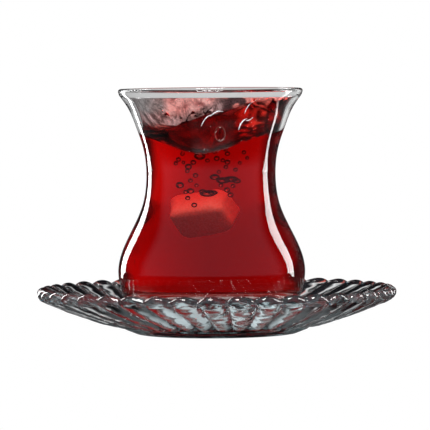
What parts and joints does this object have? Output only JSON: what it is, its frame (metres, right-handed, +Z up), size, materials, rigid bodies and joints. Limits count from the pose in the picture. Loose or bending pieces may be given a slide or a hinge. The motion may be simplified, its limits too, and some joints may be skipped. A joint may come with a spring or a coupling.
{
  "type": "turkish tea glass with tea and saucer",
  "caption": "Waisted clear tea glass full of red tea with a heaving surface, standing on a shallow pressed-glass saucer with swirling ribs and a scalloped rim.",
  "frame": {"origin": "on the surface that the saucer stands on, under the middle of the saucer's foot", "axes": "+Z up, through the saucer's centre; +X to the right in the picture; the viewer looks along +Y"},
  "size_m": [0.1222, 0.1222, 0.0833],
  "materials": {
    "saucer_glass": "clear pressed glass, polished",
    "cup_glass": "clear blown glass, polished",
    "tea_liquid": "clear red-brown liquid"
  },
  "bodies": {
    "root": {"saucer": "saucer_glass", "glass": "cup_glass", "tea": "tea_liquid"}
  },
  "joints": []
}
